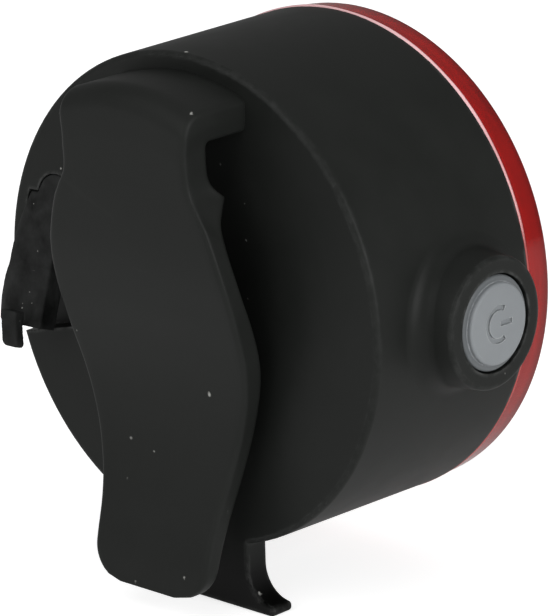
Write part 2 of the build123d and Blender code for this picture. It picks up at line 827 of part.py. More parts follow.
def charge_chip():
    side = charge_board_side - charge_board_thickness
    solid = brick(side - charge_chip_height, side, charge_chip_depth - charge_chip_width / 2,
                  charge_chip_depth + charge_chip_width / 2, charge_chip_z - charge_chip_length / 2,
                  charge_chip_z + charge_chip_length / 2)
    return chamfer(edges_on(solid, Axis.X, side - charge_chip_height), charge_chip_height / 6)


def battery():
    solid = brick(battery_x - battery_length / 2, battery_x + battery_length / 2, battery_rear, tray_rear,
                  -battery_height / 2, battery_height / 2)
    return fillet(solid.edges().filter_by(Axis.Z), battery_round)


def battery_pad():
    half_x = battery_length / 2 - pad_inset
    half_z = battery_height / 2 - pad_inset
    solid = brick(battery_x - half_x, battery_x + half_x, rear_wall, battery_rear, -half_z, half_z)
    return fillet(solid.edges().filter_by(Axis.Y), pad_inset / 2)


def battery_tray():
    half_x = battery_length / 2 + tray_gap
    half_z = battery_height / 2 + tray_gap
    box = Pos(battery_x, 0) * Rectangle(2 * (half_x + tray_wall), 2 * (half_z + tray_wall))
    hollow = Pos(battery_x, 0) * Rectangle(2 * half_x, 2 * half_z)
    plate = box
    lap_edge = half_z + tray_wall - tray_lug_web
    for x, z in fixing_places():
        web = abs(z) - lap_edge
        middle = lap_edge + web / 2 if z > 0 else -lap_edge - web / 2
        plate += Pos(x, z) * Circle(tray_lug_radius)
        plate += Pos(x, middle) * Rectangle(2 * tray_lug_radius, web)
    solid = slab(plate, tray_rear, tray_front) + slab(box - hollow, rear_wall + tray_back_gap, tray_rear)
    for place in fixing_places():
        solid += disc(column_radius, tray_front, main_board_rear, place)
        solid -= disc(screw_pass_radius, tray_rear - overrun, main_board_rear + overrun, place)
    solid -= slab(Pos(battery_x, 0) * RectangleRounded(tray_window_length, tray_window_height, tray_wall),
                  tray_rear - overrun, tray_front + overrun)
    first, last = lead_x - lead_pitch, lead_x
    inner_face = half_z - tray_gap / 2
    solid -= brick(first - lead_notch_side, last + lead_notch_side, rear_wall, tray_rear,
                   inner_face, half_z + tray_wall + overrun)
    return solid


def battery_lead(x):
    start_z = battery_height / 2
    high_z = start_z + lead_rise
    points = [(x, -lead_depth, start_z), (x, -lead_depth, high_z), (x, -main_board_rear, high_z)]
    route = FilletPolyline(*points, radius=lead_bend)
    return sweep(Plane(origin=points[0], z_dir=(0, 0, 1)) * Circle(lead_radius), path=route)


nodes = {
    "housing": [housing()],
    "lens": [lens()],
    "lens_seal": [lens_seal()],
    "reflector": [reflector()],
    "led_chips": [led(place) for place in led_places()],
    "main_board": [main_board()],
    "board_screws": [screw(main_board_front, rear_wall + screw_tip_gap, place) for place in fixing_places()],
    "controller_chip": [controller_chip()],
    "drive_inductor": [drive_inductor()],
    "board_capacitors": capacitors(),
    "board_resistors": [resistor(angle) for angle in resistor_angles()],
    "tact_switch": [tact_switch()],
    "switch_plunger": [switch_plunger()],
    "button": [button()],
    "button_clip": [button_clip()],
    "button_seal": [button_seal()],
    "battery": [battery()],
    "battery_pad": [battery_pad()],
    "battery_tray": [battery_tray()],
    "battery_lead_red": [battery_lead(lead_x - lead_pitch)],
    "battery_lead_black": [battery_lead(lead_x)],
    "charge_board": [charge_board()],
    "charge_chip": [charge_chip()],
    "board_header": [board_header()],
    "header_pins": header_pins(),
    "usb_shell": [usb_shell()],
    "usb_tongue": [usb_tongue()],
    "usb_contacts": usb_contacts(),
    "port_cover": [port_cover()],
    "port_cover_anchor": [port_cover_anchor()],
    "clip_root": [clip_root()],
    "clip_arm": [clip_arm()],
    "clip_screws": [screw(rear_wall, clip_screw_tip(), place) for place in clip_screw_places()],
}

os.makedirs("parts", exist_ok=True)
for name, solids in nodes.items():
    shape = solids[0] if len(solids) == 1 else Compound(children=solids)
    export_step(shape, f"parts/{name}.step")
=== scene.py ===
import json
from math import atan2, cos, degrees, radians, sin, sqrt

import bmesh
import bpy
from mathutils import Matrix, Vector, noise


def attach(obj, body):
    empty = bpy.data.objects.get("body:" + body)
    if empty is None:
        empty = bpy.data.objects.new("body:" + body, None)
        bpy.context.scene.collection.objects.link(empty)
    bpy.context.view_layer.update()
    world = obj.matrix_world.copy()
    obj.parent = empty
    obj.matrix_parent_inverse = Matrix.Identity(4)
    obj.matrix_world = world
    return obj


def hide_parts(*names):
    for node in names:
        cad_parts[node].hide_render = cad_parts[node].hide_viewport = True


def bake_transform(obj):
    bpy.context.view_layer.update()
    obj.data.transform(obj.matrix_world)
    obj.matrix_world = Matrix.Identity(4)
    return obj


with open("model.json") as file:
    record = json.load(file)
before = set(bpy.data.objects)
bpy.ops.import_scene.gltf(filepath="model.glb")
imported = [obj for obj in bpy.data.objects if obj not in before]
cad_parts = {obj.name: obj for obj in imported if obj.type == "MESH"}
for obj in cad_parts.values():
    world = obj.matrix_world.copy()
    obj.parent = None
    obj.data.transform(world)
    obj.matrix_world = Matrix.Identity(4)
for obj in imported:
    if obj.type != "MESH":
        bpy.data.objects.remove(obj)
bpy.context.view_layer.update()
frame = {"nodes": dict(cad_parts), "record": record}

# The light's rear face lies on y = 0, its axis runs along -Y to the lens, and +Z runs up along the clip.
mm = 0.001
scene = bpy.context.scene
scene.view_settings.view_transform = "Standard"
nodes = frame["nodes"]

# Clip, in millimetres: the same driving sizes as the solid part
clip_top_radius = 20.93
clip_root_half_width = 7.7
clip_root_height = 16.55
clip_reach = 7.65
clip_throat = 4.6
clip_throat_round = 0.5
clip_crown_round = 2.2
clip_edge_round = 0.55
clip_tip_drop = 25.4
clip_half_width = 10.95
clip_tip_round = 3.2
clip_arch_low = 10.0
clip_arch_fade = 6.0
clip_root_blend_share = 0.06
clip_width_shares = [
    (0.000, 0.685), (0.079, 0.705), (0.128, 0.785), (0.199, 0.888), (0.283, 0.970),
    (0.367, 1.000), (0.462, 0.986), (0.534, 0.936), (0.630, 0.840), (0.727, 0.740),
    (0.823, 0.665), (0.924, 0.639),
]
clip_outer_shares = [
    (0.000, 1.000), (0.079, 0.974), (0.175, 0.941), (0.271, 0.876), (0.367, 0.745),
    (0.462, 0.590), (0.559, 0.472), (0.655, 0.451), (0.751, 0.523), (0.846, 0.655),
    (0.930, 0.784), (1.000, 0.855),
]
clip_cavity_shares = [(0.000, 0.601), (0.044, 0.606), (0.077, 0.592), (0.098, 0.536), (0.118, 0.431)]
clip_inner_shares = [
    (0.118, 0.431), (0.142, 0.530), (0.166, 0.615), (0.194, 0.645), (0.247, 0.627),
    (0.319, 0.542), (0.391, 0.405), (0.462, 0.280), (0.534, 0.200), (0.630, 0.175),
    (0.727, 0.222), (0.823, 0.345), (0.907, 0.500), (1.000, 0.610),
]

# Clip's mesh: steps along it and round it, and the most of its thickness that an edge's round takes
clip_shelf_steps = 8
clip_bend_steps = 12
clip_arm_steps = 130
clip_across_steps = 16
clip_corner_steps = 5
clip_flank_steps = 8
clip_round_limit = 0.45

# Port cover, in millimetres: the same driving sizes as the solid part
port_head_x = 16.2
port_head_z = 6.4
port_head_radius = 2.5
port_ear_z = 6.95
port_ear_radius = 20.95
cover_gap = 0.15
cover_inner_x = 15.05
cover_thickness = 1.9
cover_low_z = 5.2
cover_hinge_z = 7.5
cover_lift_angle = 18.5
cover_roll_start = 18.9
cover_roll_radius = 4.1
cover_flank_z = -4.2
cover_bend_length = 1.2
tab_inner_radius = 17.75
tab_outer_radius = 19.5
tab_top_z = 4.2
tab_low_z = 7.25
tab_corner = 0.3
tab_clear = 0.3
tab_height = 1.2
tongue_x = 18.2
tongue_z = 1.0
tongue_width = 1.2
tongue_length = 5.4
tongue_depth = 1.2
anchor_z = 8.125
anchor_width = 2.6
anchor_height = 0.8
anchor_depth = 4.9
barb_width = 3.6
barb_depth = 1.2
silicone_voxel = 0.1
silicone_ripple = 0.03
silicone_swell = 0.07

# Port cover's mesh: steps on its arcs, how it is smoothed, and its ripple's scales
cover_neck_steps = 14
cover_ear_steps = 12
cover_rim_steps = 4
tab_steps = 6
cover_roll_share = 0.92
silicone_smooth_rounds = 3
silicone_smooth_factor = 0.5
ripple_scale = 0.9
fine_ripple_scale = 3.1
fine_ripple_share = 0.4

# Weld bead between lens and housing, in millimetres, with its wander round the rim and its steps
weld_radius = 22.64
weld_depth = 19.86
weld_wire = 0.15
weld_swell = 0.11
weld_wander = 5
weld_wander_share = 0.4
weld_turns = 240
weld_sides = 8

# The lowest point of the strap hook and the depth of the button's axis, in millimetres
hook_drop = 27.9
button_depth = 11.37

# Camera, fitted to the photograph: angles in degrees, lengths as shares of the housing's radius
housing_radius = 22.5
view_azimuth = 222.873
view_elevation = 18.469
view_roll_about_light = 2.144
view_distance_share = 16.8746
view_right_share = 0.342328
view_up_share = -0.030750
view_focal_mm = 250.47
view_sensor_mm = 36
view_near = 0.01
view_far = 10

# What all finishes share
bevel_samples = 6
wear_roughness = 0.15
scratch_gain = 4
scratch_lift = 0.02
dust_colour = (0.55, 0.55, 0.52, 1.0)
coat_roughness = 0.12

# Room: the world's light, and the floor's half width in metres and its colour
world_soft = 0.27
world_white = 1.0
floor_half = 3.0
floor_colour = (0.8, 0.8, 0.8, 1)

# The floor's own light: what reaches the light's pieces, and what the camera sees
floor_glow = 0.24
floor_lift = 0.72

# Name, place, side and power of each soft lamp, in metres and watts
soft_lamps = [
    ("soft_right", (-0.80, 0.05, 0.26), 0.45, 3.5),
    ("soft_behind", (0.1, 0.85, 0.60), 1.0, 4.4),
    ("soft_top", (0.0, -0.1, 0.85), 0.8, 0.6),
]


def spline_at(pairs, x):
    # A smooth curve's value at x through (position, value) pairs in rising order of position
    last = len(pairs) - 1
    i = 0
    while i < last - 1 and x > pairs[i + 1][0]:
        i += 1
    (x1, y1), (x2, y2) = pairs[i], pairs[i + 1]
    before = pairs[max(i - 1, 0)]
    after = pairs[min(i + 2, last)]
    t = min(max((x - x1) / (x2 - x1), 0.0), 1.0)
    slope1 = (y2 - before[1]) / (x2 - before[0]) * (x2 - x1)
    slope2 = (after[1] - y1) / (after[0] - x1) * (x2 - x1)
    return (
        y1 * (2 * t ** 3 - 3 * t ** 2 + 1) + slope1 * (t ** 3 - 2 * t ** 2 + t)
        + y2 * (3 * t ** 2 - 2 * t ** 3) + slope2 * (t ** 3 - t ** 2)
    )


def new_piece(name, points, faces, smooth_angle=40.0):
    # A mesh piece from points in millimetres
    mesh = bpy.data.meshes.new(name)
    mesh.from_pydata([(x * mm, y * mm, z * mm) for x, y, z in points], [], faces)
    work = bmesh.new()
    work.from_mesh(mesh)
    bmesh.ops.recalc_face_normals(work, faces=work.faces)
    work.to_mesh(mesh)
    work.free()
    piece = bpy.data.objects.new(name, mesh)
    scene.collection.objects.link(piece)
    mesh.shade_smooth()
    mesh.set_sharp_from_angle(angle=radians(smooth_angle))
    return piece


def band_faces(ring, following, size):
    # Faces between two rings of points, each ring given by its first point's number
    steps = [(j, (j + 1) % size) for j in range(size)]
    return [(ring + j, ring + k, following + k, following + j) for j, k in steps]


def loft_faces(ring_count, ring_size):
    # Faces along a row of rings, with both ends closed
    faces = []
    for i in range(ring_count - 1):
        faces += band_faces(i * ring_size, (i + 1) * ring_size, ring_size)
    faces.append(tuple(range(ring_size)))
    faces.append(tuple(reversed(range((ring_count - 1) * ring_size, ring_count * ring_size))))
    return faces


def photo_camera():
    azimuth, elevation = radians(view_azimuth), radians(view_elevation)
    back = Vector((sin(azimuth) * cos(elevation), -cos(azimuth) * cos(elevation), sin(elevation)))
    right = Vector((cos(azimuth), sin(azimuth), 0))
    up = back.cross(right)
    turn = Matrix.Rotation(radians(view_roll_about_light), 3, "Y").transposed()
    place = turn @ (right * view_right_share + up * view_up_share + back * view_distance_share)
    right, up, back = turn @ right, turn @ up, turn @ back
    data = bpy.data.cameras.new("camera")
    data.lens = view_focal_mm
    data.sensor_width = view_sensor_mm
    data.clip_start = view_near
    data.clip_end = view_far
    camera = bpy.data.objects.new("camera", data)
    scene.collection.objects.link(camera)
    axes = Matrix((right, up, back)).transposed().to_4x4()
    camera.matrix_world = Matrix.Translation(place * housing_radius * mm) @ axes
    scene.camera = camera


photo_camera()


# Shader groups: each puts out masks and heights that change over the surface
def new_group(name, inputs, outputs):
    tree = bpy.data.node_groups.new(name, "ShaderNodeTree")
    for label, value in inputs:
        socket = tree.interface.new_socket(label, in_out="INPUT", socket_type="NodeSocketFloat")
        socket.default_value = value
    for label in outputs:
        tree.interface.new_socket(label, in_out="OUTPUT", socket_type="NodeSocketFloat")
    return tree, Wiring(tree)


class Wiring:
    # Adds nodes to a tree and links them in one call each
    def __init__(self, tree):
        self.tree = tree

    def add(self, kind, values=None, **settings):
        node = self.tree.nodes.new(kind)
        for key, value in settings.items():
            setattr(node, key, value)
        for key, value in (values or {}).items():
            self.feed(node.inputs[key], value)
        return node

    def feed(self, socket, value):
        if isinstance(value, bpy.types.NodeSocket):
            self.tree.links.new(value, socket)
        else:
            socket.default_value = value

    def math(self, operation, first, second=0.0, clamp=False):
        node = self.add("ShaderNodeMath", {0: first, 1: second}, operation=operation, use_clamp=clamp)
        return node.outputs[0]

    def ramp(self, value, low, high, out_low=0.0, out_high=1.0):
        values = {"Value": value, "From Min": low, "From Max": high, "To Min": out_low, "To Max": out_high}
        return self.add("ShaderNodeMapRange", values).outputs["Result"]

    def noise(self, vector, scale, detail=3.0, rough=0.55):
        values = {"Vector": vector, "Scale": scale, "Detail": detail, "Roughness": rough}
        return self.add("ShaderNodeTexNoise", values).outputs["Fac"]

    def place(self):
        return self.add("ShaderNodeTexCoord").outputs["Object"]

    def place_axes(self):
        return self.add("ShaderNodeSeparateXYZ", {"Vector": self.place()}).outputs

    def distance(self, across, upward):
        # How far a place lies from an axis
        squares = [self.math("MULTIPLY", side, side) for side in (across, upward)]
        return self.math("SQRT", self.math("ADD", squares[0], squares[1]))

    def mix(self, factor, first, second):
        node = self.add("ShaderNodeMix", data_type="RGBA")
        self.feed(node.inputs["Factor"], factor)
        self.feed(node.inputs["A"], first)
        self.feed(node.inputs["B"], second)
        return node.outputs["Result"]


def moulded_grain():
    # Fine grain for the bump, and soft clouds for colour and roughness
    wants = [("Grain Scale", 6000.0), ("Cloud Scale", 120.0)]
    tree, w = new_group("moulded_grain", wants, ["Grain", "Cloud"])
    inputs = w.add("NodeGroupInput").outputs
    place = w.place()
    grain = w.noise(place, inputs["Grain Scale"], detail=2.0, rough=0.6)
    cloud = w.noise(place, inputs["Cloud Scale"], detail=4.0, rough=0.6)
    w.add("NodeGroupOutput", {"Grain": grain, "Cloud": w.ramp(cloud, low=0.3, high=0.7)})
    return tree


def edge_wear_and_painted_light():
    # A broken mask along the edges, where a rounded normal leaves the true one; the colour laid there is
    # partly real wear and partly painted highlight or painted shade
    wants = [("Width", 0.0002), ("Breakup Scale", 900.0), ("Strength", 1.0)]
    tree, w = new_group("edge_wear_and_painted_light", wants, ["Mask"])
    inputs = w.add("NodeGroupInput").outputs
    rounded = w.add("ShaderNodeBevel", {"Radius": inputs["Width"]}, samples=bevel_samples).outputs[0]
    true_normal = w.add("ShaderNodeNewGeometry").outputs["Normal"]
    agree = w.add("ShaderNodeVectorMath", {0: rounded, 1: true_normal}, operation="DOT_PRODUCT")
    edge = w.ramp(agree.outputs["Value"], low=0.998, high=0.93)
    breakup = w.noise(w.place(), inputs["Breakup Scale"], detail=3.0, rough=0.7)
    mask = w.math("MULTIPLY", edge, w.ramp(breakup, low=0.40, high=0.62))
    w.add("NodeGroupOutput", {"Mask": w.math("MULTIPLY", mask, inputs["Strength"], True)})
    return tree


def dust_specks():
    # A few cells of a cell pattern, each with a speck of its own size and strength
    wants = [("Scale", 700.0), ("Share", 0.06), ("Size", 0.2)]
    tree, w = new_group("dust_specks", wants, ["Mask"])
    inputs = w.add("NodeGroupInput").outputs
    place = w.place()
    wobble_scale = w.math("MULTIPLY", inputs["Scale"], 3.0)
    wobble = w.add("ShaderNodeTexNoise", {"Vector": place, "Scale": wobble_scale})
    stray = (0.0004, 0.0004, 0.0004)
    shift = w.add("ShaderNodeVectorMath", {0: wobble.outputs["Color"], 1: stray}, operation="MULTIPLY")
    moved = w.add("ShaderNodeVectorMath", {0: place, 1: shift.outputs[0]}, operation="ADD").outputs[0]
    cells = w.add("ShaderNodeTexVoronoi", {"Vector": moved, "Scale": inputs["Scale"], "Randomness": 1.0})
    chance = w.add("ShaderNodeSeparateColor", {"Color": cells.outputs["Color"]}).outputs
    own_size = w.ramp(chance[1], 0.0, 1.0, out_low=0.35, out_high=1.0)
    reach = w.math("MULTIPLY", inputs["Size"], own_size)
    spot = w.ramp(cells.outputs["Distance"], reach, 0.0)
    chosen = w.math("LESS_THAN", chance[0], inputs["Share"])
    own_strength = w.ramp(chance[2], 0.0, 1.0, out_low=0.3, out_high=1.6)
    bright = w.math("MULTIPLY", chosen, own_strength)
    w.add("NodeGroupOutput", {"Mask": w.math("MULTIPLY", spot, bright, True)})
    return tree


def fine_scratches():
    # Two sets of long thin cells at a slant, whose borders are the scratches
    tree, w = new_group("fine_scratches", [("Scale", 160.0), ("Share", 0.5)], ["Mask"])
    inputs = w.add("NodeGroupInput").outputs
    place = w.place()
    stretch = (1.0, 1.0, 0.06)
    masks = []
    for turn in ((0.3, 0.5, 0.9), (1.1, 0.2, 2.2)):
        turned = w.add("ShaderNodeMapping", {"Vector": place, "Rotation": turn, "Scale": stretch})
        lines = w.add("ShaderNodeTexVoronoi", {"Vector": turned.outputs[0], "Scale": inputs["Scale"]},
                      feature="DISTANCE_TO_EDGE")
        masks.append(w.ramp(lines.outputs["Distance"], low=0.006, high=0.0))
    breaks = w.noise(place, w.math("MULTIPLY", inputs["Scale"], 2.0), detail=2.0)
    crossed = w.math("MAXIMUM", masks[0], masks[1])
    both = w.math("MULTIPLY", crossed, w.ramp(breaks, low=0.5, high=0.62))
    w.add("NodeGroupOutput", {"Mask": w.math("MULTIPLY", both, inputs["Share"], True)})
    return tree


def height_fade():
    # A mask that turns on smoothly between two levels of Z
    tree, w = new_group("height_fade", [("Off Level", 0.0), ("On Level", 0.01)], ["Mask"])
    inputs = w.add("NodeGroupInput").outputs
    place = w.place_axes()
    w.add("NodeGroupOutput", {"Mask": w.ramp(place["Z"], inputs["Off Level"], inputs["On Level"])})
    return tree


def lens_rim_painted_shade():
    # A mask of painted shade that turns on over the lens's side towards its front edge
    wants = [
        ("Start Depth", 0.0212), ("Full Depth", 0.0228),
        ("Start Radius", 0.0214), ("Full Radius", 0.0225),
    ]
    tree, w = new_group("lens_rim_painted_shade", wants, ["Mask"])
    inputs = w.add("NodeGroupInput").outputs
    place = w.place_axes()
    depth = w.math("MULTIPLY", place["Y"], -1.0)
    deep = w.ramp(depth, inputs["Start Depth"], inputs["Full Depth"])
    radius = w.distance(place["X"], place["Z"])
    wide = w.ramp(radius, inputs["Start Radius"], inputs["Full Radius"])
    w.add("NodeGroupOutput", {"Mask": w.math("MULTIPLY", deep, wide)})
    return tree


def button_step_painted_shade():
    # A mask of painted shade on the button's low step, outside its raised crown
    wants = [("Button Depth", button_depth * mm), ("Start Radius", 0.0037), ("Full Radius", 0.00385)]
    tree, w = new_group("button_step_painted_shade", wants, ["Mask"])
    inputs = w.add("NodeGroupInput").outputs
    place = w.place_axes()
    beside = w.math("ADD", place["Y"], inputs["Button Depth"])
    radius = w.distance(beside, place["Z"])
    w.add("NodeGroupOutput", {"Mask": w.ramp(radius, inputs["Start Radius"], inputs["Full Radius"])})
    return tree


grain_group = moulded_grain()
edge_wear_and_light_group = edge_wear_and_painted_light()
dust_group = dust_specks()
scratch_group = fine_scratches()
fade_group = height_fade()
rim_painted_shade_group = lens_rim_painted_shade()
step_painted_shade_group = button_step_painted_shade()


def use_group(w, tree, **values):
    node = w.add("ShaderNodeGroup", node_tree=tree)
    for key, value in values.items():
        w.feed(node.inputs[key.replace("_", " ")], value)
    return node.outputs


def finish(name, dark, light, rough=(0.4, 0.55), metallic=0.0, specular=0.5, coat=0.0, grain_scale=6000.0,
           cloud_scale=120.0, bump=0.3, bump_depth=0.00002, round_edges=0.00012, wear=0.0, edge_wear_and_light_colour=None,
           wear_width=0.0002, dust=0.0, dust_size=0.2, dust_scale=700.0, scratches=0.0, transmission=0.0,
           ior=1.5, painted_light_levels=None, painted_light_colour=None, painted_shade_group=None, painted_shade_colour=None):
    # One surface finish: colour clouds, grain, rounded edge light, edges painted lighter or darker (partly
    # real wear, partly painted highlight and painted shade), painted light and shade by height or by a
    # mask, dust and scratches
    material = bpy.data.materials.new(name)
    material.use_nodes = True
    tree = material.node_tree
    tree.nodes.clear()
    w = Wiring(tree)
    grain = use_group(w, grain_group, Grain_Scale=grain_scale, Cloud_Scale=cloud_scale)
    colour = w.mix(grain["Cloud"], (*dark, 1.0), (*light, 1.0))
    roughness = w.ramp(grain["Cloud"], 0.0, 1.0, rough[0], rough[1])
    # Painted light and shade: between two heights the colour turns to another, for a painted shadow,
    # reflection or highlight
    if painted_light_levels:
        painted_light_mask = use_group(w, fade_group, Off_Level=painted_light_levels[0], On_Level=painted_light_levels[1])["Mask"]
        colour = w.mix(painted_light_mask, colour, (*painted_light_colour, 1.0))
    # Painted shade: inside a mask the colour turns darker
    if painted_shade_group:
        colour = w.mix(use_group(w, painted_shade_group)["Mask"], colour, (*painted_shade_colour, 1.0))
    # Edge colour: partly real wear, partly painted highlight or painted shade along the edges
    if wear:
        worn_and_painted_edge = use_group(w, edge_wear_and_light_group, Width=wear_width, Strength=wear)["Mask"]
        colour = w.mix(worn_and_painted_edge, colour, (*(edge_wear_and_light_colour or light), 1.0))
        roughness = w.math("ADD", roughness, w.math("MULTIPLY", worn_and_painted_edge, wear_roughness))
    if scratches:
        scratched = use_group(w, scratch_group, Share=scratches)["Mask"]
        scratch_colour = [min(scratch_gain * value + scratch_lift, 1) for value in light]
        colour = w.mix(scratched, colour, (*scratch_colour, 1.0))
    if dust:
        specks = use_group(w, dust_group, Share=dust, Size=dust_size, Scale=dust_scale)["Mask"]
        colour = w.mix(specks, colour, dust_colour)
        roughness = w.math("MAXIMUM", roughness, specks)
    shader = w.add("ShaderNodeBsdfPrincipled", {"Base Color": colour, "Roughness": roughness})
    shader.inputs["Metallic"].default_value = metallic
    shader.inputs["Specular IOR Level"].default_value = specular
    shader.inputs["Coat Weight"].default_value = coat
    shader.inputs["Coat Roughness"].default_value = coat_roughness
    shader.inputs["Transmission Weight"].default_value = transmission
    shader.inputs["IOR"].default_value = ior
    height = w.add("ShaderNodeBump", {"Height": grain["Grain"], "Strength": bump, "Distance": bump_depth})
    if round_edges:
        rounded = w.add("ShaderNodeBevel", {"Radius": round_edges}, samples=bevel_samples)
        w.feed(height.inputs["Normal"], rounded.outputs[0])
    w.feed(shader.inputs["Normal"], height.outputs[0])
    w.add("ShaderNodeOutputMaterial", {"Surface": shader.outputs[0]})
    return material


# Surface finishes of the light's pieces
finishes = {
    # Housing: darker towards the strap hook at the bottom, a painted shadow near the floor; its lighter
    # edge lines are partly wear, partly painted highlight
    "housing_black": finish(
        "housing_satin_black", (0.0100, 0.0112, 0.0100), (0.0135, 0.0148, 0.0135), rough=(0.44, 0.52),
        specular=0.16, wear=0.7, edge_wear_and_light_colour=(0.085, 0.087, 0.085), wear_width=0.0006, dust=0.04,
        scratches=0.03, painted_light_levels=(-0.0218, -0.0245), painted_light_colour=(0.0012, 0.0013, 0.0012)),
    # Clip: its lighter edge lines are partly wear, partly painted highlight
    "clip_black": finish(
        "clip_satin_black", (0.0108, 0.0120, 0.0108), (0.0145, 0.0158, 0.0145), rough=(0.46, 0.56),
        specular=0.16, wear=0.5, edge_wear_and_light_colour=(0.04, 0.042, 0.04), dust=0.09, scratches=0.03),
    "cover_silicone": finish(
        "cover_dusty_silicone", (0.0022, 0.0025, 0.0022), (0.027, 0.028, 0.0275), rough=(0.6, 0.8),
        specular=0.16, cloud_scale=420.0, bump=0.6, dust=0.1, dust_scale=1800.0, dust_size=0.2),
    # Button: darker on its low step, painted shade; its lighter edge lines are partly wear, partly painted
    # highlight
    "button_rubber": finish(
        "button_grey_rubber", (0.225, 0.240, 0.252), (0.255, 0.272, 0.283), rough=(0.42, 0.52),
        specular=0.35, wear=0.7, edge_wear_and_light_colour=(0.52, 0.54, 0.55), wear_width=0.00018,
        painted_shade_group=step_painted_shade_group, painted_shade_colour=(0.13, 0.14, 0.146)),
    "seal_rubber": finish(
        "seal_black_rubber", (0.012, 0.012, 0.012), (0.02, 0.02, 0.02), rough=(0.4, 0.5)),
    # Lens: paler towards the bottom, a painted reflection; darker towards its front edge and along its
    # edges, painted shade
    "lens_red": finish(
        "lens_clear_red", (0.62, 0.006, 0.003), (0.74, 0.009, 0.004), rough=(0.06, 0.10),
        specular=0.2, transmission=0.7, ior=1.49, bump=0.05, scratches=0.05, wear=0.6,
        edge_wear_and_light_colour=(0.20, 0.01, 0.01), painted_light_levels=(0.0, -0.018), painted_light_colour=(0.58, 0.022, 0.02),
        painted_shade_group=rim_painted_shade_group, painted_shade_colour=(0.30, 0.003, 0.002)),
    "reflector_silver": finish(
        "reflector_metallised", (0.80, 0.80, 0.80), (0.86, 0.86, 0.86), rough=(0.08, 0.14),
        metallic=1.0, bump=0.05, round_edges=0.00005),
    "led_resin": finish(
        "led_yellow_resin", (0.75, 0.62, 0.25), (0.85, 0.74, 0.38), rough=(0.15, 0.25), coat=0.5),
    "board_green": finish(
        "board_solder_mask", (0.012, 0.10, 0.035), (0.02, 0.14, 0.05), rough=(0.25, 0.35), coat=0.3,
        cloud_scale=800.0),
    "chip_black": finish(
        "chip_moulded_epoxy", (0.02, 0.02, 0.022), (0.03, 0.03, 0.032), rough=(0.5, 0.6)),
    "ceramic_tan": finish(
        "capacitor_ceramic", (0.36, 0.24, 0.13), (0.42, 0.29, 0.17), rough=(0.4, 0.5)),
    "plunger_white": finish(
        "plunger_acetal", (0.62, 0.60, 0.55), (0.7, 0.68, 0.63), rough=(0.4, 0.5)),
    "screw_steel": finish(
        "screw_zinc_plate", (0.45, 0.45, 0.46), (0.6, 0.6, 0.6), rough=(0.25, 0.4), metallic=1.0,
        wear=0.4, edge_wear_and_light_colour=(0.75, 0.75, 0.74)),
    "cell_foil": finish(
        "battery_foil_pouch", (0.5, 0.51, 0.52), (0.6, 0.6, 0.61), rough=(0.3, 0.42), metallic=0.8,
        cloud_scale=300.0, bump=0.5),
    "pad_foam": finish(
        "pad_grey_foam", (0.05, 0.05, 0.05), (0.09, 0.09, 0.09), rough=(0.8, 0.9), bump=1.0,
        grain_scale=2500.0),
    "tray_white": finish(
        "tray_natural_plastic", (0.55, 0.55, 0.52), (0.62, 0.62, 0.59), rough=(0.45, 0.55)),
    "lead_red": finish(
        "lead_red_sleeve", (0.45, 0.02, 0.02), (0.55, 0.03, 0.03), rough=(0.35, 0.45)),
    "lead_black": finish(
        "lead_black_sleeve", (0.012, 0.012, 0.012), (0.02, 0.02, 0.02), rough=(0.35, 0.45)),
    "socket_steel": finish(
        "socket_pressed_steel", (0.5, 0.5, 0.5), (0.62, 0.62, 0.61), rough=(0.25, 0.35), metallic=1.0,
        scratches=0.3),
    "contact_brass": finish(
        "contact_gold_plate", (0.72, 0.52, 0.2), (0.82, 0.62, 0.28), rough=(0.2, 0.3), metallic=1.0),
}

# Weld bead: its pale pink colour, paler still towards the top, is a painted highlight
weld_painted_highlight_finish = finish(
    "lens_weld_painted_highlight", (0.40, 0.05, 0.045), (0.55, 0.09, 0.08), rough=(0.15, 0.25), coat=0.2,
    painted_light_levels=(0.004, 0.016), painted_light_colour=(1.0, 0.60, 0.62))


def dress(obj, material):
    if obj.data.materials:
        obj.material_slots[0].material = material
    else:
        obj.data.materials.append(material)


slot_of_node = {row["node"]: row["material_slot"] for row in frame["record"]["subparts"]}
for node_name, node_object in nodes.items():
    dress(node_object, finishes[slot_of_node[node_name]])


# Clip: root and arm as the one moulding that it is
def clip_level(share):
    # The height at a share of the way from the root's lower edge down to the tip
    return clip_root_height - share * (clip_root_height + clip_tip_drop)


def clip_share(z):
    return (clip_root_height - z) / (clip_root_height + clip_tip_drop)


def clip_half_width_at(z):
    # Half the clip's width: the waisted arm with its rounded tip, and the straight root above it
    share = clip_share(z)
    if share <= 0:
        root = clip_half_width * clip_width_shares[0][1]
        blend = min(-share / clip_root_blend_share, 1.0)
        return root + (clip_root_half_width - root) * blend * blend * (3 - 2 * blend)
    width = clip_half_width * spline_at(clip_width_shares, share)
    corner = z + clip_tip_drop - clip_tip_round
    if corner < 0:
        width -= clip_tip_round - sqrt(max(clip_tip_round ** 2 - corner ** 2, 0.0))
    return width


